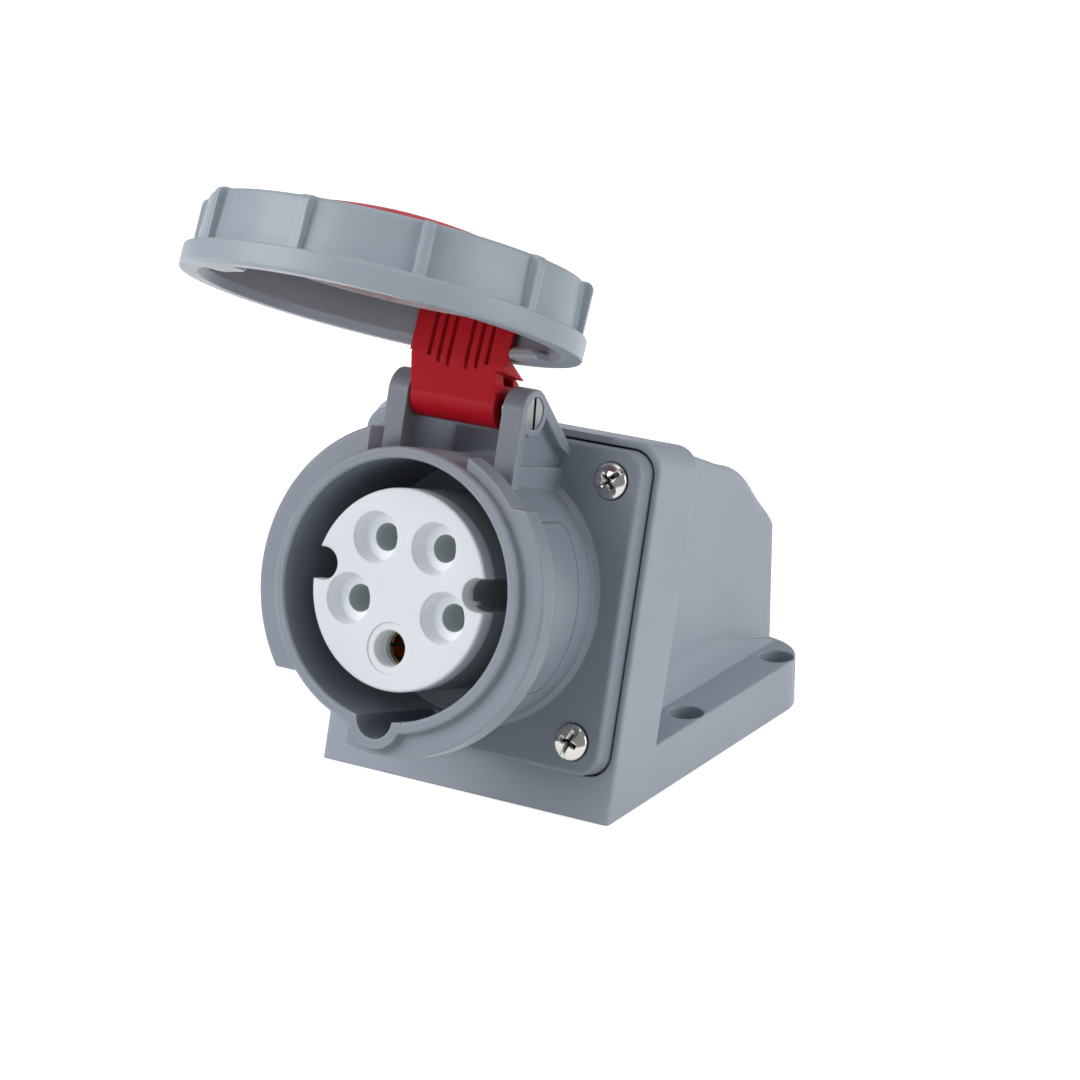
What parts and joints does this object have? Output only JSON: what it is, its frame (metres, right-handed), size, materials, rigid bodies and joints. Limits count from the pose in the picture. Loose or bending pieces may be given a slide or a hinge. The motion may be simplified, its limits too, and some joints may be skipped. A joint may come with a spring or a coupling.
{
  "type": "industrial socket",
  "caption": "Surface-mounted industrial power socket: grey wall box, round keyed shroud with a white contact insert, and a red hinged lid with a grey bayonet ring.",
  "frame": {"origin": "centre of the four wall holes, on the wall face", "axes": "+Z out of the wall, -Y towards the side the socket faces, +X to the right seen from the socket's front"},
  "size_m": [0.0988, 0.1976, 0.1713],
  "materials": {
    "box_grey": "fine satin moulding",
    "housing_grey": "fine satin moulding",
    "ring_grey": "fine satin moulding",
    "lid_red": "satin moulding",
    "gasket_black": "matt",
    "gasket_pale": "matt",
    "insert_white": "satin moulding",
    "carrier_dark": "satin moulding",
    "contact_brass": "turned, bright",
    "screw_nickel": "bright nickel",
    "pin_steel": "zinc-plated",
    "spring_steel": "bright wire",
    "plug_grey": "fine satin moulding"
  },
  "bodies": {
    "housing": {"back_box": "box_grey", "cover_gasket": "gasket_black", "socket_housing": "housing_grey", "flange_screws": "screw_nickel", "contact_face": "insert_white", "contact_carrier": "carrier_dark", "sleeve_l1": "contact_brass", "sleeve_l2": "contact_brass", "sleeve_l3": "contact_brass", "sleeve_neutral": "contact_brass", "sleeve_earth": "contact_brass", "sleeve_rings": "spring_steel", "terminal_screws": "pin_steel", "carrier_screws": "pin_steel", "insert_seal": "gasket_black", "hinge_pin": "pin_steel", "hinge_spring": "spring_steel", "entry_plug": "plug_grey", "entry_seal": "gasket_black"},
    "lid": {"lid_cover": "lid_red", "lid_gasket": "gasket_pale"},
    "ring": {"lid_ring": "ring_grey"}
  },
  "joints": [
    {"name": "lid_hinge", "type": "hinge", "parent": "housing", "child": "lid", "pos_m": [0, -0.07142, 0.10381], "axis": [1, 0, 0], "range_deg": [0, 99.7], "stiffness_Nm_per_rad": 0.03, "springref_deg": -114.59},
    {"name": "ring_turn", "type": "hinge", "parent": "lid", "child": "ring", "pos_m": [0, -0.10595, 0.14199], "axis": [0, 0.4305, 0.9026], "range_deg": [-45, 0]}
  ]
}
